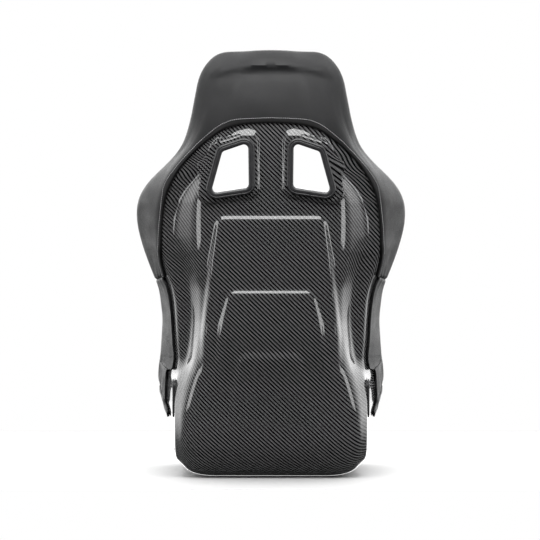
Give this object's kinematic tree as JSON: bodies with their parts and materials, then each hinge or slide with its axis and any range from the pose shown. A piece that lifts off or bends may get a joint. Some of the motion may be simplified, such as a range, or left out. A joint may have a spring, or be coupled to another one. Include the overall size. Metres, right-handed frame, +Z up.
{
  "type": "racing seat",
  "caption": "Fixed-back bucket racing seat: moulded carbon shell with head and shoulder wings, wrap-over leather covers, loose cushions, harness openings and side mounts.",
  "frame": {"origin": "on the flat underside of the shell, on the centre line, midway between the front and rear side-mount inserts", "axes": "+Z up, the sitter faces -Y, X across the seat with the sitter's left at +X"},
  "size_m": [0.567, 0.6096, 0.8987],
  "materials": {
    "carbon_laminate": "woven carbon laminate under a gloss clear coat",
    "cover_leather": "fine-grained black leather, satin",
    "hem_leather": "stitched black binding",
    "cushion_cloth": "black non-slip cloth",
    "bezel_plastic": "moulded black, satin",
    "trim_rubber": "black, semi-matt",
    "plated_steel": "zinc-plated",
    "hook_and_loop": "black hook tape"
  },
  "bodies": {
    "seat": {"shell": "carbon_laminate", "head_and_wing_cover": "cover_leather", "side_bolster_left": "cover_leather", "side_bolster_right": "cover_leather", "thigh_bolster_left": "cover_leather", "thigh_bolster_right": "cover_leather", "cover_hem_band": "hem_leather", "headrest_pad": "cushion_cloth", "back_cushion": "cushion_cloth", "harness_bezel_rear_left": "bezel_plastic", "harness_bezel_rear_right": "bezel_plastic", "harness_bezel_front_left": "bezel_plastic", "harness_bezel_front_right": "bezel_plastic", "crotch_strap_bezel": "bezel_plastic", "lap_belt_slot_trim_left": "trim_rubber", "lap_belt_slot_trim_right": "trim_rubber", "side_mount_plate_left": "plated_steel", "side_mount_plate_right": "plated_steel", "mount_insert_front_left": "plated_steel", "mount_insert_front_right": "plated_steel", "mount_insert_rear_left": "plated_steel", "mount_insert_rear_right": "plated_steel", "cushion_strip_front": "hook_and_loop", "cushion_strip_rear": "hook_and_loop"},
    "loose_cushion": {"seat_cushion": "cushion_cloth"}
  },
  "joints": [
    {"name": "seat_cushion_lift", "type": "slide", "parent": "seat", "child": "loose_cushion", "axis": [0, -0.352, 0.936], "range_m": [0, 0.6]}
  ]
}
